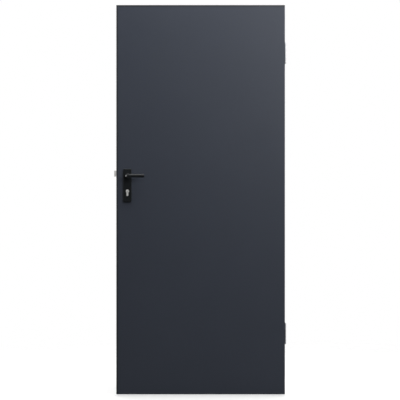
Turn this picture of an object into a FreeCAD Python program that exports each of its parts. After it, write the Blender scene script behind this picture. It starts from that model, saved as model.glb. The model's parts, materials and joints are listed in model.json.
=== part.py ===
"""Steel utility door leaf: folded steel skins, mortise lock, lever set and lift-off hinges.

Millimetres. X runs to the right as the leaf is seen from its push side, Y runs through the leaf away
from that side, and Z is up. The origin lies on the mounting face of the lower hinge's jamb plate,
level with the hinge's middle and with the middle of the leaf's thickness.
"""
import FreeCAD, Part
import math
import os

from FreeCAD import Vector

# Leaf
LEAF_WIDTH = 860.0
LEAF_HEIGHT = 1985.0
LEAF_THICKNESS = 40.0
SKIN = 1.0
FOLD_RADIUS = 2.0
SEAM_GAP = 0.4
CHANNEL_GAUGE = 1.5
TOP_CHANNEL_DEPTH = 25.0
BOTTOM_CHANNEL_DEPTH = 18.0
CHANNEL_CLEARANCE = 0.1
BACKING_THICKNESS = 5.0
BACKING_INSET = 4.0
BACKING_OVERHANG = 15.0
SEAT_CLEARANCE = 0.3

# Hinges
HINGE_ABOVE_BOTTOM = 309.0
HINGE_BELOW_TOP = 241.0
HINGE_HEIGHT = 110.0
HINGE_PLATE = 3.0
HINGE_PLATE_REACH = 28.0
HINGE_PLATE_CORNER = 4.0
HINGE_GAP = 3.0
KNUCKLE_RADIUS = 7.0
KNUCKLE_STANDOFF = 8.0
KNUCKLE_CLEARANCE = 0.5
KNUCKLE_CAP = 4.0
KNUCKLE_CHAMFER = 1.0
PIN_RADIUS = 4.5
PIN_CLEARANCE = 0.05
PIN_END_CLEARANCE = 1.0
WASHER_THICKNESS = 2.0
WASHER_CLEARANCE = 0.1
HINGE_HOLE_RADIUS = 2.75
HINGE_HEAD_RADIUS = 5.25
HINGE_HOLE_DEPTH_SPACING = 16.0
HINGE_HOLE_HEIGHT_SPACING = 80.0
HINGE_HOLE_EDGE = 7.0

# Lock
BACKSET = 57.0
LEVER_ABOVE_BOTTOM = 1114.0
LEVER_TO_CYLINDER = 78.0
FOREND_HEIGHT = 235.0
FOREND_WIDTH = 24.0
FOREND_THICKNESS = 3.0
FOREND_SCREW_EDGE = 12.0
FOREND_HOLE_RADIUS = 2.6
FOREND_HEAD_RADIUS = 4.8
CYLINDER_SCREW_DROP = 20.0
CASE_HEIGHT = 165.0
CASE_THICKNESS = 15.0
CASE_BEHIND_AXIS = 30.0
CASE_ABOVE_LEVER = 45.0
BOLT_CLEARANCE = 0.3
LATCH_ABOVE_LEVER = 12.0
LATCH_HEIGHT = 30.0
LATCH_THICKNESS = 12.0
LATCH_THROW = 12.0
LATCH_TAIL = 30.0
LATCH_TIP = 2.5
LATCH_EDGE = 1.0
DEAD_BOLT_BELOW_LEVER = 40.0
DEAD_BOLT_HEIGHT = 32.0
DEAD_BOLT_THICKNESS = 10.0
DEAD_BOLT_TAIL = 40.0
DEAD_BOLT_EDGE = 1.0
BOLT_ROOM = 1.0

# Profile cylinder
CYLINDER_RADIUS = 8.5
CYLINDER_STEM = 10.0
CYLINDER_HEIGHT = 33.0
CYLINDER_PROUD = 2.0
CYLINDER_EDGE = 0.4
CYLINDER_CLEARANCE = 0.3
PLUG_RADIUS = 6.5
PLUG_CLEARANCE = 0.05
PLUG_PROUD = 0.5
KEYWAY_WIDTH = 2.4
KEYWAY_TOP = 3.6
KEYWAY_BOTTOM = 5.0
KEYWAY_STEP = 1.0
KEYWAY_DEPTH = 24.0

# Handle set
PLATE_LENGTH = 170.0
PLATE_WIDTH = 42.0
PLATE_THICKNESS = 8.0
PLATE_CORNER = 6.0
PLATE_EDGE = 1.5
PLATE_ABOVE_LEVER = 36.0
PLATE_SCREW_EDGE = 10.0
PLATE_HOLE_RADIUS = 2.6
PLATE_HEAD_RADIUS = 4.8
PLATE_THREAD_RADIUS = 2.1
PLATE_THREAD_DEPTH = 5.5
THROUGH_HOLE_RADIUS = 3.5
LEVER_RADIUS = 9.0
LEVER_REACH = 87.0
LEVER_PROJECTION = 50.0
LEVER_BEND = 16.0
LEVER_TIP_EDGE = 1.5
LEVER_CLEARANCE = 0.1
LEVER_FOOT_GAP = 1.0
GRUB_HOLE_RADIUS = 2.6
GRUB_ABOVE_FOOT = 18.0
BUSH_RADIUS = 13.0
BUSH_PROUD = 2.5
BUSH_EDGE = 1.0
BUSH_CLEARANCE = 0.05
SPINDLE = 8.0
SPINDLE_GRIP = 25.0
SPINDLE_CLEARANCE = 0.1
SPINDLE_HOLE_RADIUS = 10.0
CASE_SPINDLE_RADIUS = 6.2

# Derived planes
HALF = LEAF_THICKNESS / 2
RIGHT = -(HINGE_PLATE + HINGE_GAP)
LEFT = RIGHT - LEAF_WIDTH
BOTTOM = -HINGE_ABOVE_BOTTOM
TOP = BOTTOM + LEAF_HEIGHT
HINGE_X = RIGHT + HINGE_GAP / 2
HINGE_Y = HALF + KNUCKLE_STANDOFF
HINGE_PLATE_FRONT = HALF - HINGE_PLATE_REACH
UPPER_HINGE_Z = TOP - HINGE_BELOW_TOP
AXIS_X = LEFT + BACKSET
LEVER_Z = BOTTOM + LEVER_ABOVE_BOTTOM
CYLINDER_Z = LEVER_Z - LEVER_TO_CYLINDER
FOREND_BACK = LEFT + FOREND_THICKNESS
CASE_TOP = LEVER_Z + CASE_ABOVE_LEVER
CASE_BOTTOM = CASE_TOP - CASE_HEIGHT
FOREND_Z = (CASE_TOP + CASE_BOTTOM) / 2
LATCH_Z = LEVER_Z + LATCH_ABOVE_LEVER
DEAD_BOLT_Z = LEVER_Z - DEAD_BOLT_BELOW_LEVER
CYLINDER_SCREW_Z = CYLINDER_Z - CYLINDER_SCREW_DROP
PLATE_FACE = HALF + PLATE_THICKNESS
PLATE_TOP = LEVER_Z + PLATE_ABOVE_LEVER
PLATE_BOTTOM = PLATE_TOP - PLATE_LENGTH
PLATE_SCREW_HEIGHTS = (PLATE_BOTTOM + PLATE_SCREW_EDGE, PLATE_TOP - PLATE_SCREW_EDGE)
CYLINDER_END = PLATE_FACE + CYLINDER_PROUD


def box(x0, x1, y0, y1, z0, z1):
    """A block between two opposite corners."""
    return Part.makeBox(x1 - x0, y1 - y0, z1 - z0, Vector(x0, y0, z0))


def rod(radius, start, end):
    """A round bar from one point to another."""
    axis = end - start
    return Part.makeCylinder(radius, axis.Length, start, axis)


def edges_along(shape, axis):
    """The straight edges that run parallel to an axis."""
    found = []
    for edge in shape.Edges:
        if len(edge.Vertexes) == 2:
            run = edge.Vertexes[1].Point - edge.Vertexes[0].Point
            if run.cross(axis).Length < 1e-6 * run.Length:
                found.append(edge)
    return found


def edges_on_plane(shape, axis, level):
    """The edges that lie in the plane at a level along an axis."""
    found = []
    for edge in shape.Edges:
        ends = [vertex.Point.dot(axis) for vertex in edge.Vertexes]
        middle = edge.CenterOfMass.dot(axis)
        if all(abs(value - level) < 1e-6 for value in ends + [middle]):
            found.append(edge)
    return found


def countersunk(plate, start, along, depth, hole_radius, head_radius):
    """Cuts a screw hole with its countersink at the start."""
    plate = plate.cut(rod(hole_radius, start, start + along * depth))
    return plate.cut(Part.makeCone(head_radius, hole_radius, head_radius - hole_radius, start, along))


def mirrored(shape):
    """The same piece on the other side of the leaf."""
    return shape.mirror(Vector(0, 0, 0), Vector(0, 1, 0))


def skin_block(inset):
    """The folded skin's outer or inner form, as a block with two rounded long corners."""
    radius = FOLD_RADIUS - inset
    face = -HALF + inset
    block = box(LEFT + inset, RIGHT - inset, face, -SEAM_GAP / 2, BOTTOM, TOP)
    folds = [edge for edge in edges_along(block, Vector(0, 0, 1)) if edge.CenterOfMass.y < face + radius]
    return block.makeFillet(radius, folds)


def forend_window(clearance):
    """The opening for the lock's forend in the edge of the leaf."""
    return box(LEFT - SKIN, FOREND_BACK,
               -FOREND_WIDTH / 2 - clearance, FOREND_WIDTH / 2 + clearance,
               FOREND_Z - FOREND_HEIGHT / 2 - clearance, FOREND_Z + FOREND_HEIGHT / 2 + clearance)


def hinge_plate_block(x0, x1, z, clearance):
    """A hinge plate's form, or its recess: a block to the hinge axis, with two rounded front corners."""
    front = HINGE_PLATE_FRONT - clearance
    reach = HINGE_HEIGHT / 2 + clearance
    block = box(x0, x1, front, HINGE_Y, z - reach, z + reach)
    corners = [edge for edge in edges_along(block, Vector(1, 0, 0)) if edge.CenterOfMass.y < HINGE_Y]
    return block.makeFillet(HINGE_PLATE_CORNER + clearance, corners)


def hinge_window(z):
    """The recess for a hinge's leaf plate, open to the edge and to the back face."""
    return hinge_plate_block(RIGHT - HINGE_PLATE, RIGHT + SKIN, z, SEAT_CLEARANCE)


def cylinder_prism(grow, y0, y1):
    """A length of the lock cylinder's profile: a round top on a narrow stem."""
    radius = CYLINDER_RADIUS + grow
    half_stem = CYLINDER_STEM / 2 + grow
    neck = -math.sqrt(radius ** 2 - half_stem ** 2)
    foot = CYLINDER_RADIUS - CYLINDER_HEIGHT + CYLINDER_STEM / 2

    def point(x, z):
        return Vector(AXIS_X + x, y0, CYLINDER_Z + z)

    outline = Part.Wire([
        Part.Arc(point(-half_stem, neck), point(0, radius), point(half_stem, neck)).toShape(),
        Part.LineSegment(point(half_stem, neck), point(half_stem, foot)).toShape(),
        Part.Arc(point(half_stem, foot), point(0, foot - half_stem), point(-half_stem, foot)).toShape(),
        Part.LineSegment(point(-half_stem, foot), point(-half_stem, neck)).toShape(),
    ])
    return Part.Face(outline).extrude(Vector(0, y1 - y0, 0))


def spindle_bore(radius, y0, y1):
    """A round hole on the lever's axis."""
    return rod(radius, Vector(AXIS_X, y0, LEVER_Z), Vector(AXIS_X, y1, LEVER_Z))


def handle_holes(shape):
    """Cuts the leaf's holes for the spindle, the cylinder and the plates' through screws."""
    shape = shape.cut(spindle_bore(SPINDLE_HOLE_RADIUS, -LEAF_THICKNESS, LEAF_THICKNESS))
    shape = shape.cut(cylinder_prism(CYLINDER_CLEARANCE, -LEAF_THICKNESS, LEAF_THICKNESS))
    return through_screw_holes(shape)


def through_screw_holes(shape):
    """Cuts the two holes for the screws that join the handle plates through the leaf."""
    for z in PLATE_SCREW_HEIGHTS:
        start = Vector(AXIS_X, -LEAF_THICKNESS, z)
        shape = shape.cut(rod(THROUGH_HOLE_RADIUS, start, start + Vector(0, 2 * LEAF_THICKNESS, 0)))
    return shape


def folded_sheet():
    """The push side's skin before its cut-outs: a face with two folded edges."""
    return skin_block(0).cut(skin_block(SKIN))


def with_cutouts(skin, hinge_heights):
    """Cuts a skin for the lock, the handles and the hinge plates, which also notch the pull side's corner."""
    skin = handle_holes(skin.cut(forend_window(SEAT_CLEARANCE)))
    for z in hinge_heights:
        skin = skin.cut(hinge_window(z))
    return skin


def channel(web_bottom, flange_end):
    """A folded channel between the skins, with its flanges on one side of the web."""
    inset = SKIN + CHANNEL_CLEARANCE
    low, high = sorted((web_bottom, flange_end))
    if flange_end < web_bottom:
        high = web_bottom + CHANNEL_GAUGE
    block = box(LEFT + inset, RIGHT - inset, -HALF + inset, HALF - inset, low, high)
    block = block.makeFillet(FOLD_RADIUS, edges_along(block, Vector(0, 0, 1)))
    wall = inset + CHANNEL_GAUGE
    trough = box(LEFT, RIGHT, -HALF + wall, HALF - wall, flange_end, web_bottom)
    return block.cut(trough)


def leaf_core():
    """The infill board between the skins and the channels, notched right through for the lock."""
    edge = SKIN + BACKING_THICKNESS
    core = box(LEFT + edge, RIGHT - edge, -HALF + SKIN, HALF - SKIN,
               BOTTOM + BOTTOM_CHANNEL_DEPTH, TOP - TOP_CHANNEL_DEPTH)
    notch = box(LEFT, AXIS_X + CASE_BEHIND_AXIS, -HALF, HALF,
                min(CASE_BOTTOM, PLATE_BOTTOM), max(CASE_TOP, PLATE_TOP))
    return core.cut(notch)


def edge_backing(x0, x1, z, height):
    """A reinforcing plate behind a folded edge."""
    half_width = HALF - BACKING_INSET
    half_height = height / 2 + BACKING_OVERHANG
    return box(x0, x1, -half_width, half_width, z - half_height, z + half_height)


def hinge_backing(z):
    inner = RIGHT - SKIN
    plate = edge_backing(inner - BACKING_THICKNESS, inner, z, HINGE_HEIGHT)
    return plate.cut(hinge_window(z))


def lock_backing():
    inner = LEFT + SKIN
    plate = edge_backing(inner, inner + BACKING_THICKNESS, FOREND_Z, FOREND_HEIGHT)
    plate = plate.cut(forend_window(SEAT_CLEARANCE))
    half_case = CASE_THICKNESS / 2 + SEAT_CLEARANCE
    return plate.cut(box(LEFT, AXIS_X, -half_case, half_case,
                         CASE_BOTTOM - SEAT_CLEARANCE, CASE_TOP + SEAT_CLEARANCE))


def bolt_opening(z, height, thickness, x0, x1):
    """The guide for a lock bolt."""
    half_y = thickness / 2 + BOLT_CLEARANCE
    half_z = height / 2 + BOLT_CLEARANCE
    return box(x0, x1, -half_y, half_y, z - half_z, z + half_z)


def lock_forend():
    plate = forend_window(0).common(box(LEFT, FOREND_BACK, -HALF, HALF, BOTTOM, TOP))
    plate = plate.cut(bolt_opening(LATCH_Z, LATCH_HEIGHT, LATCH_THICKNESS, LEFT, FOREND_BACK))
    plate = plate.cut(bolt_opening(DEAD_BOLT_Z, DEAD_BOLT_HEIGHT, DEAD_BOLT_THICKNESS, LEFT, FOREND_BACK))
    reach = FOREND_HEIGHT / 2 - FOREND_SCREW_EDGE
    for z in (FOREND_Z - reach, FOREND_Z + reach, CYLINDER_SCREW_Z):
        plate = countersunk(plate, Vector(LEFT, 0, z), Vector(1, 0, 0), FOREND_THICKNESS,
                            FOREND_HOLE_RADIUS, FOREND_HEAD_RADIUS)
    return plate


def lock_case():
    case = box(FOREND_BACK, AXIS_X + CASE_BEHIND_AXIS, -CASE_THICKNESS / 2, CASE_THICKNESS / 2,
               CASE_BOTTOM, CASE_TOP)
    latch_end = FOREND_BACK + LATCH_TAIL + LATCH_THROW + BOLT_ROOM
    dead_bolt_end = FOREND_BACK + DEAD_BOLT_TAIL + BOLT_ROOM
    case = case.cut(bolt_opening(LATCH_Z, LATCH_HEIGHT, LATCH_THICKNESS, FOREND_BACK, latch_end))
    case = case.cut(bolt_opening(DEAD_BOLT_Z, DEAD_BOLT_HEIGHT, DEAD_BOLT_THICKNESS,
                                 FOREND_BACK, dead_bolt_end))
    case = case.cut(spindle_bore(CASE_SPINDLE_RADIUS, -HALF, HALF))
    case = case.cut(cylinder_prism(CYLINDER_CLEARANCE, -HALF, HALF))
    screw_start = Vector(LEFT, 0, CYLINDER_SCREW_Z)
    case = case.cut(rod(FOREND_HOLE_RADIUS, screw_start, screw_start + Vector(BACKSET, 0, 0)))
    return through_screw_holes(case)


def latch_bolt():
    """The sprung bolt, bevelled on the side that meets the strike as the leaf closes."""
    half = LATCH_THICKNESS / 2
    z0 = LATCH_Z - LATCH_HEIGHT / 2
    corners = [
        Vector(FOREND_BACK + LATCH_TAIL, -half, z0),
        Vector(LEFT, -half, z0),
        Vector(LEFT - LATCH_THROW, half - LATCH_TIP, z0),
        Vector(LEFT - LATCH_THROW, half, z0),
        Vector(FOREND_BACK + LATCH_TAIL, half, z0),
    ]
    outline = Part.makePolygon(corners + corners[:1])
    bolt = Part.Face(outline).extrude(Vector(0, 0, LATCH_HEIGHT))
    return bolt.makeFillet(LATCH_EDGE, edges_on_plane(bolt, Vector(1, 0, 0), LEFT - LATCH_THROW))


def dead_bolt():
    half_y = DEAD_BOLT_THICKNESS / 2
    half_z = DEAD_BOLT_HEIGHT / 2
    tail = FOREND_BACK + DEAD_BOLT_TAIL
    bolt = box(LEFT, tail, -half_y, half_y, DEAD_BOLT_Z - half_z, DEAD_BOLT_Z + half_z)
    return bolt.makeChamfer(DEAD_BOLT_EDGE, edges_on_plane(bolt, Vector(1, 0, 0), LEFT))


def cylinder_body():
    body = cylinder_prism(0, -CYLINDER_END, CYLINDER_END)
    for end in (-CYLINDER_END, CYLINDER_END):
        body = body.makeChamfer(CYLINDER_EDGE, edges_on_plane(body, Vector(0, 1, 0), end))
    reach = CYLINDER_END + PLUG_PROUD
    start = Vector(AXIS_X, -reach, CYLINDER_Z)
    return body.cut(rod(PLUG_RADIUS + PLUG_CLEARANCE, start, start + Vector(0, 2 * reach, 0)))


def front_plug():
    """The turning core of the cylinder, with a stepped keyway."""
    face = -CYLINDER_END - PLUG_PROUD
    plug = rod(PLUG_RADIUS, Vector(AXIS_X, face, CYLINDER_Z), Vector(AXIS_X, 0, CYLINDER_Z))
    plug = plug.makeChamfer(PLUG_PROUD, edges_on_plane(plug, Vector(0, 1, 0), face))
    half = KEYWAY_WIDTH / 2
    upper = box(AXIS_X - half, AXIS_X + half, face, face + KEYWAY_DEPTH, CYLINDER_Z, CYLINDER_Z + KEYWAY_TOP)
    lower = box(AXIS_X - half + KEYWAY_STEP, AXIS_X + half + KEYWAY_STEP, face, face + KEYWAY_DEPTH,
                CYLINDER_Z - KEYWAY_BOTTOM, CYLINDER_Z)
    return plug.cut(upper).cut(lower)


def handle_plate():
    """The plate under a lever, on the push side, with holes for the lever's bush and the cylinder."""
    half_width = PLATE_WIDTH / 2
    plate = box(AXIS_X - half_width, AXIS_X + half_width, -PLATE_FACE, -HALF, PLATE_BOTTOM, PLATE_TOP)
    plate = plate.makeFillet(PLATE_CORNER, edges_along(plate, Vector(0, 1, 0)))
    plate = plate.makeChamfer(PLATE_EDGE, edges_on_plane(plate, Vector(0, 1, 0), -PLATE_FACE))
    plate = plate.cut(spindle_bore(BUSH_RADIUS + BUSH_CLEARANCE, -PLATE_FACE, -HALF))
    return plate.cut(cylinder_prism(CYLINDER_CLEARANCE, -PLATE_FACE, -HALF))


def front_plate():
    """The push side's plate, whose blind threads take the screws from the other side."""
    plate = handle_plate()
    for z in PLATE_SCREW_HEIGHTS:
        start = Vector(AXIS_X, -HALF, z)
        plate = plate.cut(rod(PLATE_THREAD_RADIUS, start, start - Vector(0, PLATE_THREAD_DEPTH, 0)))
    return plate


def back_plate():
    """The pull side's plate, with countersunk holes for the through screws."""
    plate = mirrored(handle_plate())
    for z in PLATE_SCREW_HEIGHTS:
        plate = countersunk(plate, Vector(AXIS_X, PLATE_FACE, z), Vector(0, -1, 0), PLATE_THICKNESS,
                            PLATE_HOLE_RADIUS, PLATE_HEAD_RADIUS)
    return plate


def front_bush():
    """The bearing ring that the lever turns in."""
    face = -PLATE_FACE - BUSH_PROUD
    ring = spindle_bore(BUSH_RADIUS, face, -HALF)
    ring = ring.makeChamfer(BUSH_EDGE, edges_on_plane(ring, Vector(0, 1, 0), face))
    return ring.cut(spindle_bore(LEVER_RADIUS + LEVER_CLEARANCE, face, -HALF))


def front_lever():
    """A round bar bent through a right angle, with a square socket and a grub screw's hole in its foot."""
    foot = -HALF - LEVER_FOOT_GAP
    grip = -HALF - LEVER_PROJECTION

    def point(x, y):
        return Vector(AXIS_X + x, y, LEVER_Z)

    bend_start = point(0, grip + LEVER_BEND)
    section = Part.Face(Part.Wire([Part.Circle(bend_start, Vector(0, 1, 0), LEVER_RADIUS).toShape()]))
    bend = section.revolve(point(LEVER_BEND, grip + LEVER_BEND), Vector(0, 0, 1), 90)
    arm = rod(LEVER_RADIUS, point(LEVER_BEND, grip), point(LEVER_REACH, grip))
    arm = arm.makeChamfer(LEVER_TIP_EDGE, edges_on_plane(arm, Vector(1, 0, 0), AXIS_X + LEVER_REACH))
    bar = rod(LEVER_RADIUS, point(0, foot), bend_start).fuse([bend, arm]).removeSplitter()
    half = SPINDLE / 2 + SPINDLE_CLEARANCE
    socket = box(AXIS_X - half, AXIS_X + half, foot - SPINDLE_GRIP, foot, LEVER_Z - half, LEVER_Z + half)
    grub = point(0, foot - GRUB_ABOVE_FOOT)
    return bar.cut(socket).cut(rod(GRUB_HOLE_RADIUS, grub - Vector(0, 0, LEVER_RADIUS), grub))


def spindle():
    half = SPINDLE / 2
    reach = HALF + LEVER_FOOT_GAP + SPINDLE_GRIP
    return box(AXIS_X - half, AXIS_X + half, -reach, reach, LEVER_Z - half, LEVER_Z + half)


def hinge_screw_holes(plate, face, inward, z):
    """Cuts the four screw holes of a hinge plate, with their countersinks on one face."""
    first = HINGE_PLATE_FRONT + HINGE_HOLE_EDGE
    for y in (first, first + HINGE_HOLE_DEPTH_SPACING):
        for dz in (-HINGE_HOLE_HEIGHT_SPACING / 2, HINGE_HOLE_HEIGHT_SPACING / 2):
            plate = countersunk(plate, Vector(face, y, z + dz), Vector(inward, 0, 0), HINGE_PLATE,
                                HINGE_HOLE_RADIUS, HINGE_HEAD_RADIUS)
    return plate


def on_hinge_axis(z):
    return Vector(HINGE_X, HINGE_Y, z)


def knuckle(low, high, closed_end):
    """A hinge barrel with its outer end chamfered."""
    barrel = rod(KNUCKLE_RADIUS, on_hinge_axis(low), on_hinge_axis(high))
    return barrel.makeChamfer(KNUCKLE_CHAMFER, edges_on_plane(barrel, Vector(0, 0, 1), closed_end))


def hinge_jamb_half(z):
    """The plate that is fixed to the jamb, with the lower barrel."""
    low, high, split = z - HINGE_HEIGHT / 2, z + HINGE_HEIGHT / 2, z - WASHER_THICKNESS / 2
    plate = hinge_plate_block(-HINGE_PLATE, 0, z, 0)
    plate = plate.cut(rod(KNUCKLE_RADIUS + KNUCKLE_CLEARANCE, on_hinge_axis(split), on_hinge_axis(high)))
    plate = hinge_screw_holes(plate, -HINGE_PLATE, 1, z)
    half = plate.fuse(knuckle(low, split, low)).removeSplitter()
    return half.cut(rod(PIN_RADIUS + PIN_CLEARANCE, on_hinge_axis(low + KNUCKLE_CAP), on_hinge_axis(split)))


def hinge_leaf_half(z):
    """The plate let into the leaf's edge, with the upper barrel."""
    low, high = z - HINGE_HEIGHT / 2, z + HINGE_HEIGHT / 2
    split = z + WASHER_THICKNESS / 2 + WASHER_CLEARANCE
    plate = hinge_plate_block(RIGHT - HINGE_PLATE, RIGHT, z, 0)
    plate = plate.cut(rod(KNUCKLE_RADIUS + KNUCKLE_CLEARANCE, on_hinge_axis(low), on_hinge_axis(split)))
    plate = hinge_screw_holes(plate, RIGHT, -1, z)
    half = plate.fuse(knuckle(split, high, high)).removeSplitter()
    return half.cut(rod(PIN_RADIUS + PIN_CLEARANCE, on_hinge_axis(split), on_hinge_axis(high - KNUCKLE_CAP)))


def hinge_pin(z):
    low = z - HINGE_HEIGHT / 2 + KNUCKLE_CAP
    high = z + HINGE_HEIGHT / 2 - KNUCKLE_CAP - PIN_END_CLEARANCE
    return rod(PIN_RADIUS, on_hinge_axis(low), on_hinge_axis(high))


def hinge_washer(z):
    low, high = z - WASHER_THICKNESS / 2, z + WASHER_THICKNESS / 2
    ring = rod(KNUCKLE_RADIUS, on_hinge_axis(low), on_hinge_axis(high))
    return ring.cut(rod(PIN_RADIUS + PIN_CLEARANCE, on_hinge_axis(low), on_hinge_axis(high)))


def all_pieces():
    """Every piece by its node's name."""
    hinges = {"lower": 0.0, "upper": UPPER_HINGE_Z}
    heights = list(hinges.values())
    pieces = {
        "front_sheet": with_cutouts(folded_sheet(), heights),
        "back_sheet": with_cutouts(mirrored(folded_sheet()), heights),
        "top_channel": channel(TOP - CHANNEL_GAUGE, TOP - TOP_CHANNEL_DEPTH),
        "bottom_channel": channel(BOTTOM + BOTTOM_CHANNEL_DEPTH - CHANNEL_GAUGE, BOTTOM),
        "leaf_core": leaf_core(),
        "lock_backing": lock_backing(),
        "lock_case": lock_case(),
        "lock_forend": lock_forend(),
        "latch_bolt": latch_bolt(),
        "dead_bolt": dead_bolt(),
        "cylinder_body": cylinder_body(),
        "spindle": spindle(),
        "front_plate": front_plate(),
        "back_plate": back_plate(),
    }
    for name, make in (("bush", front_bush), ("lever", front_lever), ("key_plug", front_plug)):
        shape = make()
        pieces["front_" + name] = shape
        pieces["back_" + name] = mirrored(shape)
    for name, z in hinges.items():
        pieces[name + "_hinge_jamb_half"] = hinge_jamb_half(z)
        pieces[name + "_hinge_leaf_half"] = hinge_leaf_half(z)
        pieces[name + "_hinge_pin"] = hinge_pin(z)
        pieces[name + "_hinge_washer"] = hinge_washer(z)
        pieces[name + "_hinge_backing"] = hinge_backing(z)
    return pieces


def main():
    os.makedirs("parts", exist_ok=True)
    for name, shape in all_pieces().items():
        shape.exportStep(os.path.join("parts", name + ".step"))


main()
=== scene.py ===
"""Looks of a steel utility door leaf: powder-coated skins, black handles, nickel lock and zinc hinges.

Metres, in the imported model's own frame: X to the right as seen from the push side, Y through the leaf
away from that side, and Z up.
"""
import json
import math

import bmesh
import bpy
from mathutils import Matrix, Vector


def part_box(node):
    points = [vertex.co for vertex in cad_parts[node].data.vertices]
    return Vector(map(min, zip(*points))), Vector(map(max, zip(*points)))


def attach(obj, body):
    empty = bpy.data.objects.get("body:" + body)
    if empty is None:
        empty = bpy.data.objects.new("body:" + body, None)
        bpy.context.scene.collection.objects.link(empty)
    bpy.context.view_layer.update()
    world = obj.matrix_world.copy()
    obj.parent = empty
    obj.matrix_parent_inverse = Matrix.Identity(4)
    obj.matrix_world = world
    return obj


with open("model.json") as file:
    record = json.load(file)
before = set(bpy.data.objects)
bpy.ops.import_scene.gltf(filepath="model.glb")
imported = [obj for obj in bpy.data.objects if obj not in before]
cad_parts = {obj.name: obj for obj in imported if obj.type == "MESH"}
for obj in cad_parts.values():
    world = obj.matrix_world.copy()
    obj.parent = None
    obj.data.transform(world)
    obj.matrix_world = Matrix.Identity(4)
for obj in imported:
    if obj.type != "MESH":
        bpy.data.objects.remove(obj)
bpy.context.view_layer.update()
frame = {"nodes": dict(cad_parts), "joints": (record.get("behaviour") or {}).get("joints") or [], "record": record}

MM = 0.001

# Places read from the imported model
LEAF_LOW, LEAF_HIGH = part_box("front_sheet")
LEAF_FRONT = LEAF_LOW.y
LEAF_MIDDLE = (LEAF_LOW + LEAF_HIGH) / 2
JOINT_PLACES = {joint["name"]: Vector(joint["pos_m"]) for joint in frame["joints"] if "pos_m" in joint}
LEVER_AXIS = JOINT_PLACES["lever_turn"]
KEY_AXIS = JOINT_PLACES["key_turn"]
LEVER_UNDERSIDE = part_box("front_lever")[0].z
HINGE_SCREWS = [mount for mount in frame["record"]["mounts"] if mount["kind"] == "bolt_pattern"]

# Camera: straight on, a long lens, the leaf a little right of and above the picture's middle
PICTURE_SPAN = 2.0397
CAMERA_DISTANCE = 8.0
SENSOR = 36.0
CAMERA_RIGHT_OF_LEAF = -0.0031
CAMERA_ABOVE_LEAF = -0.0015

# Screws: sizes, and how far they stand from the ends of what they hold
HINGE_SCREW_HEAD = 5.1 * MM
HINGE_SCREW_DEPTH = 2.4 * MM
FOREND_SCREW_HEAD = 4.7 * MM
FOREND_SCREW_DEPTH = 2.1 * MM
FOREND_SCREW_EDGE = 12 * MM
CYLINDER_SCREW_DROP = 20 * MM
PLATE_SCREW_EDGE = 10 * MM
SCREW_RIM = 0.25 * MM
SCREW_TURN = 0.7
GRUB_RADIUS = 2.5 * MM
GRUB_LENGTH = 3.4 * MM
GRUB_SUNK = 1.2 * MM
GRUB_FROM_MIDDLE = 39 * MM

# Screw faces and recesses, as shares of the screw's radius or depth
FLAT_FACE = 0.8
CROSS_ARM = 0.56
CROSS_HALF_WIDTH = 0.15
HEX_HALF_WIDTH = 0.5
HEX_STEPS = 24
RECESS_FLOOR = 0.62
RECESS_DEPTH = 0.75

# Studio
FLOOR_GAP = 0.008
FLOOR_REACH = 6.0
FLOOR_FADE_START = 1.6
FLOOR_FADE_END = 3.2
FLOOR_TO_EYE = (0.45, 0.45, 0.45, 1)
FLOOR_TO_LIGHT = (0.12, 0.12, 0.12, 1)
FLOOR_GLOW = 0.45
FLOOR_ROUGHNESS = 0.8
FLOOR_GLOSS = 0.1
ROOM_LIGHT = 0.06
BACKDROP_LIGHT = 1.0
BACKDROP_START = -0.5
BACKDROP_FULL = 0.1
WHITE = (1, 1, 1, 1)

# Finish colours, linear
ANTHRACITE = (0.0330, 0.0397, 0.0564, 1)
ANTHRACITE_WORN = (0.055, 0.06, 0.07, 1)
# a darker anthracite for the band of painted shade along the leaf's lock edge and top
ANTHRACITE_PAINTED_SHADE = (0.0180, 0.0205, 0.0265, 1)
BLACK = (0.0080, 0.0097, 0.0112, 1)
BLACK_WORN = (0.030, 0.031, 0.034, 1)
NYLON_BLACK = (0.009, 0.0095, 0.0105, 1)
NICKEL = (0.86, 0.86, 0.845, 1)
BRIGHT_NICKEL = (0.80, 0.79, 0.77, 1)
STAINLESS = (0.58, 0.575, 0.56, 1)
ZINC = (0.76, 0.77, 0.785, 1)
ZINC_WORN = (0.56, 0.56, 0.57, 1)
GROUND_STEEL = (0.50, 0.50, 0.51, 1)
BRASS = (0.66, 0.46, 0.19, 1)
BRASS_RUBBED = (0.76, 0.58, 0.28, 1)
BOARD = (0.44, 0.33, 0.21, 1)
DUST = (0.34, 0.33, 0.31, 1)

# Wear and handling of all coats, and of all metals
COAT_EDGE = 1.2 * MM
COAT_HANDLING = 0.08
METAL_EDGE = 0.4 * MM
METAL_BREAKUP = 4 * MM
METAL_CLOUD = 25 * MM
METAL_SPECK = 1.5 * MM
METAL_SMEAR = 15 * MM
METAL_SCUFF = 2 * MM
METAL_HANDLING = 0.10
STREAK_ROUGHNESS = 0.16

# Inside the shader effects: shares, gains, and where each ramp starts and ends
CLOUD_SHARE = 0.65
SMEAR_SHARE = 0.7
NOISE_MIDDLE = 0.5
MOTTLE_GAIN = 4.0
HANDLING_GAIN = 2.0
LEAST_ROUGHNESS = 0.08
BEVEL_SAMPLES = 4
EDGE_COSINE = (0.995, 0.80)
RUBBED_NOISE = (0.38, 0.66)
FACE_ACROSS = (0.2, 0.7)
FACE_UPWARD = (0.55, 0.98)

# Band of painted shade along the leaf's lock edge and top, standing in for shade at the folded edges
SHADE_BAND_FULL = 6 * MM
SHADE_BAND_END = 12 * MM

# Grain directions: the small share is the way that the grain runs
ALONG_Z = (1.0, 1.0, 0.03)
ALONG_Y = (1.0, 0.03, 1.0)
ROUND_Z = (0.03, 0.03, 1.0)
ALL_WAYS = (1.0, 1.0, 1.0)
BOARD_GRAIN = (1.0, 1.0, 0.1)


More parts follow.
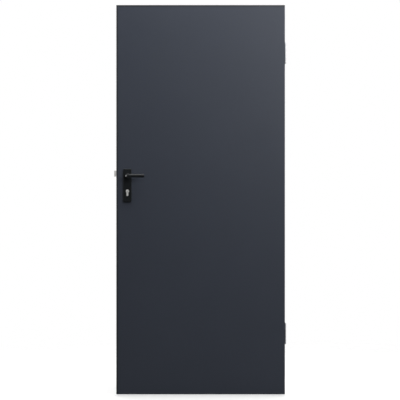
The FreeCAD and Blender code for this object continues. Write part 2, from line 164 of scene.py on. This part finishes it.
class Tree:
    """Places nodes in one node tree and joins them by socket name."""

    def __init__(self, tree):
        self.tree = tree

    def add(self, kind, inputs=None, **settings):
        node = self.tree.nodes.new("ShaderNode" + kind)
        for name, value in settings.items():
            setattr(node, name, value)
        for name, value in (inputs or {}).items():
            self.feed(node, name, value)
        return node

    def feed(self, node, name, value):
        socket = node.inputs[name]
        if isinstance(value, bpy.types.NodeSocket):
            self.tree.links.new(value, socket)
        else:
            socket.default_value = value

    def math(self, operation, first, second=0.0, third=0.0, clamp=False):
        node = self.add("Math", {0: first, 1: second, 2: third}, operation=operation, use_clamp=clamp)
        return node.outputs[0]

    def mix_colour(self, share, first, second):
        node = self.add("Mix", data_type="RGBA")
        self.feed(node, 0, share)
        self.feed(node, 6, first)
        self.feed(node, 7, second)
        return node.outputs[2]

    def noise(self, place, size, detail, roughness=0.5):
        """Noise from 0 to 1 whose largest lumps are about one size across."""
        scale = self.math("DIVIDE", 1.0, size)
        inputs = {"Vector": place, "Scale": scale, "Detail": detail, "Roughness": roughness}
        return self.add("TexNoise", inputs).outputs["Fac"]

    def swing(self, slow, fine, slow_share):
        """A slow and a fine noise weighed together, and centred on zero."""
        both = self.math("MULTIPLY_ADD", slow, slow_share, self.math("MULTIPLY", fine, 1 - slow_share))
        return self.math("SUBTRACT", both, NOISE_MIDDLE)

    def ramp(self, value, start, end):
        """0 at the start and 1 at the end, with soft ends."""
        node = self.add("MapRange", {"Value": value, "From Min": start, "From Max": end},
                        interpolation_type="SMOOTHSTEP")
        return node.outputs["Result"]

    def place(self):
        """Where a point lies on its piece, so that an effect rides with the piece."""
        return self.add("TexCoord").outputs["Object"]

    def facing(self):
        """Which way a face of the piece looks, by axis, whatever the pose."""
        return self.add("SeparateXYZ", {0: self.add("TexCoord").outputs["Normal"]}).outputs


def new_group(name, inputs, outputs):
    """An empty node group. A number, a triple or a colour gives an input's type and its first value."""
    group = bpy.data.node_groups.new(name, "ShaderNodeTree")
    for socket_name, value in inputs.items():
        kind = "NodeSocketFloat"
        if isinstance(value, tuple):
            kind = "NodeSocketColor" if len(value) == 4 else "NodeSocketVector"
        socket = group.interface.new_socket(socket_name, in_out="INPUT", socket_type=kind)
        socket.default_value = value
    for socket_name, kind in outputs.items():
        group.interface.new_socket(socket_name, in_out="OUTPUT", socket_type="NodeSocket" + kind)
    tree = Tree(group)
    source = group.nodes.new("NodeGroupInput")
    sink = group.nodes.new("NodeGroupOutput")
    return tree, source.outputs, sink


def make_coat_peel():
    """Fine peel of a baked powder coat over the slow waves of thin sheet, as a height in metres."""
    tree, given, out = new_group(
        "coat_peel",
        {"Peel Size": 1.6 * MM, "Peel Height": 0.02 * MM, "Wave Size": 0.35, "Wave Height": 0.15 * MM},
        {"Height": "Float"})
    place = tree.place()
    peel = tree.noise(place, given["Peel Size"], detail=2.0)
    wave = tree.noise(place, given["Wave Size"], detail=1.0, roughness=0.4)
    fine = tree.math("MULTIPLY", peel, given["Peel Height"])
    tree.feed(out, "Height", tree.math("MULTIPLY_ADD", wave, given["Wave Height"], fine))
    return tree.tree


def make_mottle():
    """Slow and fine variation of a colour."""
    tree, given, out = new_group(
        "mottle",
        {"Color": (0.5, 0.5, 0.5, 1), "Cloud Size": 0.25, "Speck Size": 4 * MM, "Amount": 0.1},
        {"Color": "Color"})
    place = tree.place()
    cloud = tree.noise(place, given["Cloud Size"], detail=3.0)
    speck = tree.noise(place, given["Speck Size"], detail=2.0)
    strength = tree.math("MULTIPLY", given["Amount"], MOTTLE_GAIN)
    gain = tree.math("MULTIPLY_ADD", tree.swing(cloud, speck, CLOUD_SHARE), strength, 1.0)
    scaled = tree.add("VectorMath", {0: given["Color"], "Scale": gain}, operation="SCALE")
    tree.feed(out, "Color", scaled.outputs[0])
    return tree.tree


def make_edge_wear():
    """A mask along convex and concave edges, broken up as rubbing breaks it, and the rounded normal there."""
    tree, given, out = new_group(
        "edge_wear",
        {"Reach": 1 * MM, "Breakup Size": 8 * MM, "Amount": 0.5},
        {"Mask": "Float", "Normal": "Vector"})
    rounded = tree.add("Bevel", {"Radius": given["Reach"]}, samples=BEVEL_SAMPLES).outputs["Normal"]
    true_normal = tree.add("NewGeometry").outputs["Normal"]
    meeting = tree.add("VectorMath", {0: rounded, 1: true_normal}, operation="DOT_PRODUCT").outputs["Value"]
    edge = tree.ramp(meeting, *EDGE_COSINE)
    breakup = tree.noise(tree.place(), given["Breakup Size"], detail=4.0, roughness=0.65)
    rubbed = tree.math("MULTIPLY", edge, tree.ramp(breakup, *RUBBED_NOISE))
    tree.feed(out, "Mask", tree.math("MULTIPLY", rubbed, given["Amount"], clamp=True))
    tree.feed(out, "Normal", rounded)
    return tree.tree


def make_drawn_grain():
    """Straight grain of brushed, drawn or ground metal: long along one direction and fine across it."""
    tree, given, out = new_group(
        "drawn_grain",
        {"Stretch": ALL_WAYS, "Grain Size": 0.5 * MM, "Depth": 0.004 * MM},
        {"Height": "Float", "Streak": "Float"})
    stretched = tree.add("VectorMath", {0: tree.place(), 1: given["Stretch"]}, operation="MULTIPLY")
    streak = tree.noise(stretched.outputs[0], given["Grain Size"], detail=4.0, roughness=0.7)
    tree.feed(out, "Height", tree.math("MULTIPLY", streak, given["Depth"]))
    tree.feed(out, "Streak", streak)
    return tree.tree


def make_handling():
    """Change of roughness from hands and wiping: soft smears and fine hairline scuffs."""
    tree, given, out = new_group(
        "handling",
        {"Roughness": 0.4, "Smear Size": 60 * MM, "Scuff Size": 6 * MM, "Amount": 0.1},
        {"Roughness": "Float"})
    place = tree.place()
    smear = tree.noise(place, given["Smear Size"], detail=3.0, roughness=0.6)
    scuff = tree.noise(place, given["Scuff Size"], detail=5.0, roughness=0.75)
    strength = tree.math("MULTIPLY", given["Amount"], HANDLING_GAIN)
    rough = tree.math("MULTIPLY_ADD", tree.swing(smear, scuff, SMEAR_SHARE), strength, given["Roughness"])
    tree.feed(out, "Roughness", tree.math("MAXIMUM", rough, LEAST_ROUGHNESS))
    return tree.tree


def make_painted_edge_shade():
    """A mask along the leaf's lock edge and top, where the colour is darkened as painted shade of the folded
    edges.
    """
    tree, given, out = new_group(
        "painted_edge_shade",
        {"Lock Edge": LEAF_LOW.x, "Top": LEAF_HIGH.z, "Full Width": SHADE_BAND_FULL, "End Width": SHADE_BAND_END},
        {"Mask": "Float"})
    place = tree.add("SeparateXYZ", {0: tree.place()}).outputs
    from_lock_edge = tree.math("SUBTRACT", place["X"], given["Lock Edge"])
    from_top = tree.math("SUBTRACT", given["Top"], place["Z"])
    nearer = tree.math("MINIMUM", from_lock_edge, from_top)
    band = tree.ramp(nearer, given["End Width"], given["Full Width"])
    across = tree.math("ABSOLUTE", tree.facing()["Y"])
    tree.feed(out, "Mask", tree.math("MULTIPLY", band, tree.ramp(across, *FACE_ACROSS)))
    return tree.tree


def make_settled_dust():
    """A thin broken layer of dust on faces that look upwards, and how much it adds to their roughness."""
    tree, given, out = new_group(
        "settled_dust",
        {"Patch Size": 30 * MM, "Amount": 0.2, "Dulling": 0.0},
        {"Mask": "Float", "Roughness": "Float"})
    upward = tree.ramp(tree.facing()["Z"], *FACE_UPWARD)
    patch = tree.noise(tree.place(), given["Patch Size"], detail=4.0, roughness=0.6)
    tree.feed(out, "Mask", tree.math("MULTIPLY", tree.math("MULTIPLY", upward, patch), given["Amount"]))
    tree.feed(out, "Roughness", tree.math("MULTIPLY", upward, given["Dulling"]))
    return tree.tree


GROUPS = {
    "coat_peel": make_coat_peel(),
    "mottle": make_mottle(),
    "edge_wear": make_edge_wear(),
    "drawn_grain": make_drawn_grain(),
    "handling": make_handling(),
    "painted_edge_shade": make_painted_edge_shade(),
    "settled_dust": make_settled_dust(),
}


class Finish:
    """One material: a principled shader with the shared effects placed in front of it."""

    def __init__(self, name, metallic):
        self.material = bpy.data.materials.new(name)
        self.material.use_nodes = True
        self.tree = Tree(self.material.node_tree)
        self.shader = self.material.node_tree.nodes["Principled BSDF"]
        self.shader.inputs["Metallic"].default_value = metallic

    def effect(self, group, **inputs):
        node = self.tree.add("Group", node_tree=GROUPS[group])
        for name, value in inputs.items():
            self.tree.feed(node, name.replace("_", " "), value)
        return node.outputs

    def colour(self, value):
        self.tree.feed(self.shader, "Base Color", value)

    def rough(self, value):
        self.tree.feed(self.shader, "Roughness", value)

    def relief(self, height, normal):
        bump = self.tree.add("Bump", {"Strength": 1.0, "Distance": 1.0, "Height": height, "Normal": normal})
        self.tree.feed(self.shader, "Normal", bump.outputs["Normal"])


def coated(name, colour, worn, rough, gloss, peel_size, peel_height, mottling, wear, dust,
           wave_height=0.0, speck_size=4 * MM, dulling=0.0, painted_shade=None):
    """A baked or moulded finish with worn edges and a little dust; the last colour, where given, is a band of
    painted shade along the edges.
    """
    finish = Finish(name, metallic=0.0)
    finish.shader.inputs["Specular IOR Level"].default_value = gloss
    mottle = finish.effect("mottle", Color=colour, Speck_Size=speck_size, Amount=mottling)
    edge = finish.effect("edge_wear", Reach=COAT_EDGE, Amount=wear)
    settled = finish.effect("settled_dust", Amount=dust, Dulling=dulling)
    body = finish.tree.mix_colour(edge["Mask"], mottle["Color"], worn)
    # darker band along the lock edge and top: painted shade of the folded edges
    if painted_shade:
        body = finish.tree.mix_colour(finish.effect("painted_edge_shade")["Mask"], body, painted_shade)
    finish.colour(finish.tree.mix_colour(settled["Mask"], body, DUST))
    handled = finish.effect("handling", Roughness=rough, Amount=COAT_HANDLING)
    finish.rough(finish.tree.math("ADD", handled["Roughness"], settled["Roughness"], clamp=True))
    peel = finish.effect("coat_peel", Peel_Size=peel_size, Peel_Height=peel_height, Wave_Height=wave_height)
    finish.relief(peel["Height"], edge["Normal"])
    return finish.material


def plated(name, colour, worn, rough, stretch, grain_size, grain_depth, mottling, wear):
    """A bare or plated metal with straight grain, slow tarnish and rubbed edges."""
    finish = Finish(name, metallic=1.0)
    grain = finish.effect("drawn_grain", Stretch=stretch, Grain_Size=grain_size, Depth=grain_depth)
    mottle = finish.effect("mottle", Color=colour, Cloud_Size=METAL_CLOUD, Speck_Size=METAL_SPECK,
                           Amount=mottling)
    edge = finish.effect("edge_wear", Reach=METAL_EDGE, Breakup_Size=METAL_BREAKUP, Amount=wear)
    finish.colour(finish.tree.mix_colour(edge["Mask"], mottle["Color"], worn))
    smoothest = rough - STREAK_ROUGHNESS / 2
    streaked = finish.tree.math("MULTIPLY_ADD", grain["Streak"], STREAK_ROUGHNESS, smoothest)
    handled = finish.effect("handling", Roughness=streaked, Smear_Size=METAL_SMEAR, Scuff_Size=METAL_SCUFF,
                            Amount=METAL_HANDLING)
    finish.rough(handled["Roughness"])
    finish.relief(grain["Height"], edge["Normal"])
    return finish.material


def board_material():
    """Grey-brown paper board, seen only through the lock's cut-outs."""
    finish = Finish("infill_board", metallic=0.0)
    mottle = finish.effect("mottle", Color=BOARD, Cloud_Size=12 * MM, Speck_Size=1 * MM, Amount=0.18)
    finish.colour(mottle["Color"])
    finish.rough(finish.effect("handling", Roughness=0.85, Amount=0.05)["Roughness"])
    grain = finish.effect("drawn_grain", Stretch=BOARD_GRAIN, Grain_Size=1 * MM, Depth=0.03 * MM)
    edge = finish.effect("edge_wear")
    finish.relief(grain["Height"], edge["Normal"])
    return finish.material


MATERIALS = {
    "leaf_coat": coated(
        "anthracite_coat", ANTHRACITE, ANTHRACITE_WORN, rough=0.43, gloss=0.5, peel_size=1.8 * MM,
        peel_height=0.07 * MM, mottling=0.05, wear=0.35, dust=0.08, wave_height=0.16 * MM,
        # the leaf coat carries a band of painted shade along its lock edge and top
        speck_size=14 * MM, dulling=0.5, painted_shade=ANTHRACITE_PAINTED_SHADE),
    "handle_black": coated(
        "satin_black_coat", BLACK, BLACK_WORN, rough=0.385, gloss=0.28, peel_size=0.9 * MM,
        peel_height=0.03 * MM, mottling=0.08, wear=0.35, dust=0.08),
    "bush_black": coated(
        "moulded_black", NYLON_BLACK, BLACK_WORN, rough=0.5, gloss=0.4, peel_size=0.6 * MM,
        peel_height=0.012 * MM, mottling=0.08, wear=0.15, dust=0.12),
    "infill": board_material(),
    "zinc_plate": plated(
        "zinc_sheet", ZINC, ZINC_WORN, rough=0.46, stretch=ALL_WAYS, grain_size=2 * MM,
        grain_depth=0.006 * MM, mottling=0.14, wear=0.3),
    "forend_steel": plated(
        "brushed_forend", STAINLESS, BRIGHT_NICKEL, rough=0.36, stretch=ALONG_Z, grain_size=0.35 * MM,
        grain_depth=0.006 * MM, mottling=0.05, wear=0.35),
    "bolt_nickel": plated(
        "bright_bolt", BRIGHT_NICKEL, STAINLESS, rough=0.55, stretch=ALONG_Y, grain_size=0.5 * MM,
        grain_depth=0.003 * MM, mottling=0.06, wear=0.35),
    "cylinder_nickel": plated(
        "satin_nickel", NICKEL, BRIGHT_NICKEL, rough=0.58, stretch=ALONG_Z, grain_size=0.3 * MM,
        grain_depth=0.004 * MM, mottling=0.06, wear=0.3),
    "hinge_zinc": plated(
        "bright_zinc", ZINC, ZINC_WORN, rough=0.52, stretch=ALL_WAYS, grain_size=1.2 * MM,
        grain_depth=0.006 * MM, mottling=0.12, wear=0.3),
    "pin_steel": plated(
        "ground_pin", GROUND_STEEL, BRIGHT_NICKEL, rough=0.26, stretch=ROUND_Z, grain_size=0.4 * MM,
        grain_depth=0.003 * MM, mottling=0.06, wear=0.2),
    "washer_brass": plated(
        "plain_brass", BRASS, BRASS_RUBBED, rough=0.32, stretch=ALL_WAYS, grain_size=0.8 * MM,
        grain_depth=0.004 * MM, mottling=0.10, wear=0.3),
}


def cross_recess():
    """A cross recess once round: each angle, and the reach there as a share of the head's radius."""
    arm_end = math.atan(CROSS_HALF_WIDTH / CROSS_ARM)
    quarter = math.pi / 4
    between = (arm_end + quarter) / 2
    side = CROSS_HALF_WIDTH
    eighth = [(0.0, CROSS_ARM), (arm_end, CROSS_ARM / math.cos(arm_end)),
              (between, side / math.sin(between)), (quarter, side / math.sin(quarter))]
    fold = [(2 * quarter - angle, reach) for angle, reach in reversed(eighth[1:-1])]
    return [(turn * 2 * quarter + angle, reach) for turn in range(4) for angle, reach in eighth + fold]


def hex_recess():
    """A hexagon recess once round, in the same form."""
    sixth = math.pi / 3
    angles = [2 * math.pi * step / HEX_STEPS for step in range(HEX_STEPS)]
    return [(angle, HEX_HALF_WIDTH / math.cos((angle + sixth / 2) % sixth - sixth / 2)) for angle in angles]


def add_screw(builder, place, inward, turn, profile, recess):
    """A screw of given (radius, depth) rings from its hidden end to its face, with a recess in the face."""
    side = inward.orthogonal().normalized()
    up = inward.cross(side)

    def ring(reaches, depth):
        made = []
        for (angle, _), reach in zip(recess, reaches):
            arm = side * math.cos(angle + turn) + up * math.sin(angle + turn)
            made.append(builder.verts.new(place + arm * reach + inward * depth))
        return made

    widest = max(radius for radius, _ in profile)
    end, face = profile[0][1], profile[-1][1]
    mouth = [widest * reach for _, reach in recess]
    rings = [ring([radius] * len(recess), depth) for radius, depth in profile]
    rings.append(ring(mouth, face))
    rings.append(ring([reach * RECESS_FLOOR for reach in mouth], face + (end - face) * RECESS_DEPTH))
    for outer, inner in zip(rings, rings[1:]):
        for index in range(len(recess)):
            follower = (index + 1) % len(recess)
            builder.faces.new((outer[index], outer[follower], inner[follower], inner[index]))
    builder.faces.new(rings[-1])
    builder.faces.new(reversed(rings[0]))


def countersunk(head, depth):
    """Rings of a countersunk head that lies flush with its face."""
    cone = [(head - depth, depth), (head, SCREW_RIM)]
    rounded = [(head - SCREW_RIM, SCREW_RIM / 4), (head * FLAT_FACE, 0.0)]
    return cone + rounded


def grub():
    """Rings of a headless screw sunk in its hole."""
    end = GRUB_SUNK + GRUB_LENGTH
    return [(GRUB_RADIUS, end), (GRUB_RADIUS, GRUB_SUNK + SCREW_RIM), (GRUB_RADIUS - SCREW_RIM, GRUB_SUNK)]


def screw_row(name, body, slot, places, inward, profile, recess):
    """One piece with a screw at each place, each stopped at its own turn."""
    builder = bmesh.new()
    for index, place in enumerate(places):
        add_screw(builder, Vector(place), Vector(inward), SCREW_TURN * (index + 1), profile, recess)
    bmesh.ops.recalc_face_normals(builder, faces=builder.faces)
    mesh = bpy.data.meshes.new(name)
    builder.to_mesh(mesh)
    builder.free()
    mesh.materials.append(MATERIALS[slot])
    piece = bpy.data.objects.new(name, mesh)
    bpy.context.scene.collection.objects.link(piece)
    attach(piece, body)


def hinge_screws():
    """Four screws in each hinge plate on the leaf, opposite the jamb plate's screw holes."""
    head = countersunk(HINGE_SCREW_HEAD, HINGE_SCREW_DEPTH)
    for mount in HINGE_SCREWS:
        hinge = mount["name"].removesuffix("_screws")
        middle = Vector(mount["pos_m"])
        half_y = mount["dims"]["spacing_x_mm"] * MM / 2
        half_z = mount["dims"]["spacing_y_mm"] * MM / 2
        places = [(LEAF_HIGH.x, middle.y + dy, middle.z + dz)
                  for dy in (-half_y, half_y) for dz in (-half_z, half_z)]
        screw_row(hinge + "_leaf_half_screws", "leaf", "hinge_zinc", places, (-1, 0, 0), head, cross_recess())


def forend_screws():
    """Two screws that hold the forend, and the long one that holds the cylinder."""
    low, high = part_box("lock_forend")
    head = countersunk(FOREND_SCREW_HEAD, FOREND_SCREW_DEPTH)
    heights = (low.z + FOREND_SCREW_EDGE, high.z - FOREND_SCREW_EDGE, KEY_AXIS.z - CYLINDER_SCREW_DROP)
    places = [(low.x, 0, z) for z in heights]
    screw_row("forend_screws", "leaf", "forend_steel", places, (1, 0, 0), head, cross_recess())


def plate_screws():
    """Two screws that go in from the pull side and draw both handle plates together."""
    low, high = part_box("back_plate")
    head = countersunk(FOREND_SCREW_HEAD, FOREND_SCREW_DEPTH)
    places = [(KEY_AXIS.x, high.y, z) for z in (low.z + PLATE_SCREW_EDGE, high.z - PLATE_SCREW_EDGE)]
    screw_row("back_plate_screws", "leaf", "handle_black", places, (0, -1, 0), head, cross_recess())


def grub_screws():
    """A headless screw under each lever's neck, which grips the spindle."""
    places = [(LEVER_AXIS.x, y, LEVER_UNDERSIDE) for y in (-GRUB_FROM_MIDDLE, GRUB_FROM_MIDDLE)]
    screw_row("lever_grub_screws", "lever_set", "zinc_plate", places, (0, 0, 1), grub(), hex_recess())


def dress_nodes():
    """Gives every node the finish of its material slot."""
    slots = {part["node"]: part["material_slot"] for part in frame["record"]["subparts"]}
    for name, node in frame["nodes"].items():
        node.data.materials.clear()
        node.data.materials.append(MATERIALS[slots[name]])


def make_camera():
    data = bpy.data.cameras.new("camera")
    data.sensor_width = SENSOR
    data.lens = SENSOR * CAMERA_DISTANCE / PICTURE_SPAN
    camera = bpy.data.objects.new("camera", data)
    camera.location = (LEAF_MIDDLE.x + CAMERA_RIGHT_OF_LEAF, LEAF_FRONT - CAMERA_DISTANCE,
                       LEAF_MIDDLE.z + CAMERA_ABOVE_LEAF)
    camera.rotation_euler = (math.pi / 2, 0, 0)
    bpy.context.scene.collection.objects.link(camera)
    bpy.context.scene.camera = camera


def make_world():
    """White to the eye; as a light, a white backdrop behind the leaf and a dim room before it."""
    world = bpy.data.worlds.new("studio")
    world.use_nodes = True
    bpy.context.scene.world = world
    tree = Tree(world.node_tree)
    background = world.node_tree.nodes["Background"]
    direction = tree.add("TexCoord").outputs["Generated"]
    behind = tree.add("SeparateXYZ", {0: direction}).outputs["Y"]
    backdrop = tree.ramp(behind, BACKDROP_START, BACKDROP_FULL)
    room = tree.math("MULTIPLY_ADD", backdrop, BACKDROP_LIGHT - ROOM_LIGHT, ROOM_LIGHT)
    seen = tree.add("LightPath").outputs["Is Camera Ray"]
    tree.feed(background, "Strength", tree.math("MAXIMUM", seen, room))
    background.inputs["Color"].default_value = WHITE


def area_light(name, offset, start, aim, width, height, power):
    """A soft card at an offset from a start point, turned towards its aim."""
    place = Vector(start) + Vector(offset)
    data = bpy.data.lights.new(name, "AREA")
    data.shape = "RECTANGLE"
    data.size = width
    data.size_y = height
    data.energy = power
    light = bpy.data.objects.new(name, data)
    light.location = place
    light.rotation_mode = "QUATERNION"
    light.rotation_quaternion = (Vector(aim) - place).to_track_quat("-Z", "Y")
    light.visible_camera = False
    bpy.context.scene.collection.objects.link(light)
    return light


def make_lights():
    """A key light from the right, a large overhead card, and dim cards at the lock side and behind."""
    middle = Vector((LEAF_MIDDLE.x, 0, LEAF_MIDDLE.z))
    lock_side = Vector((LEAF_LOW.x, 0, LEAF_MIDDLE.z))
    upper_half = middle + Vector((0, 0, 0.5))
    area_light("key", (2.2, -3.2, 1.8), middle, upper_half, width=2.4, height=2.0, power=94)
    area_light("overhead", (0.3, -0.5, 2.8), middle, middle, width=2.6, height=2.6, power=127)
    area_light("side_card", (-2.4, -1.6, 0.2), lock_side, LEVER_AXIS, width=1.0, height=2.4, power=2.5)
    area_light("back_fill", (-1.4, 3.0, 1.6), middle, middle, width=2.0, height=2.0, power=30)


def make_rim_light():
    """A card behind the lock edge that catches the levers' elbows and is flagged off everything else."""
    card = area_light("lever_rim", (-2.2, 1.2, 0), LEVER_AXIS, LEVER_AXIS, width=0.4, height=0.8, power=45)
    levers = bpy.data.collections.new("levers")
    for name in ("front_lever", "back_lever"):
        levers.objects.link(frame["nodes"][name])
    card.light_linking.receiver_collection = levers


def floor_material():
    """A pale matt floor that fades out away from the leaf."""
    material = bpy.data.materials.new("pale_floor")
    material.use_nodes = True
    tree = Tree(material.node_tree)
    shader = material.node_tree.nodes["Principled BSDF"]
    seen = tree.add("LightPath").outputs["Is Camera Ray"]
    tree.feed(shader, "Base Color", tree.mix_colour(seen, FLOOR_TO_LIGHT, FLOOR_TO_EYE))
    shader.inputs["Roughness"].default_value = FLOOR_ROUGHNESS
    shader.inputs["Specular IOR Level"].default_value = FLOOR_GLOSS
    shader.inputs["Emission Color"].default_value = WHITE
    tree.feed(shader, "Emission Strength", tree.math("MULTIPLY", seen, FLOOR_GLOW))
    reach = tree.add("VectorMath", {0: tree.place()}, operation="LENGTH").outputs["Value"]
    tree.feed(shader, "Alpha", tree.ramp(reach, FLOOR_FADE_END, FLOOR_FADE_START))
    return material


def make_floor():
    """One flat sheet just under the leaf."""
    mesh = bpy.data.meshes.new("floor")
    builder = bmesh.new()
    bmesh.ops.create_grid(builder, x_segments=1, y_segments=1, size=FLOOR_REACH)
    builder.to_mesh(mesh)
    builder.free()
    mesh.materials.append(floor_material())
    floor = bpy.data.objects.new("floor", mesh)
    floor.location = (LEAF_HIGH.x, 0, LEAF_LOW.z - FLOOR_GAP)
    bpy.context.scene.collection.objects.link(floor)


bpy.context.scene.view_settings.view_transform = "Standard"
make_camera()
make_world()
make_lights()
make_rim_light()
make_floor()
dress_nodes()
hinge_screws()
forend_screws()
plate_screws()
grub_screws()
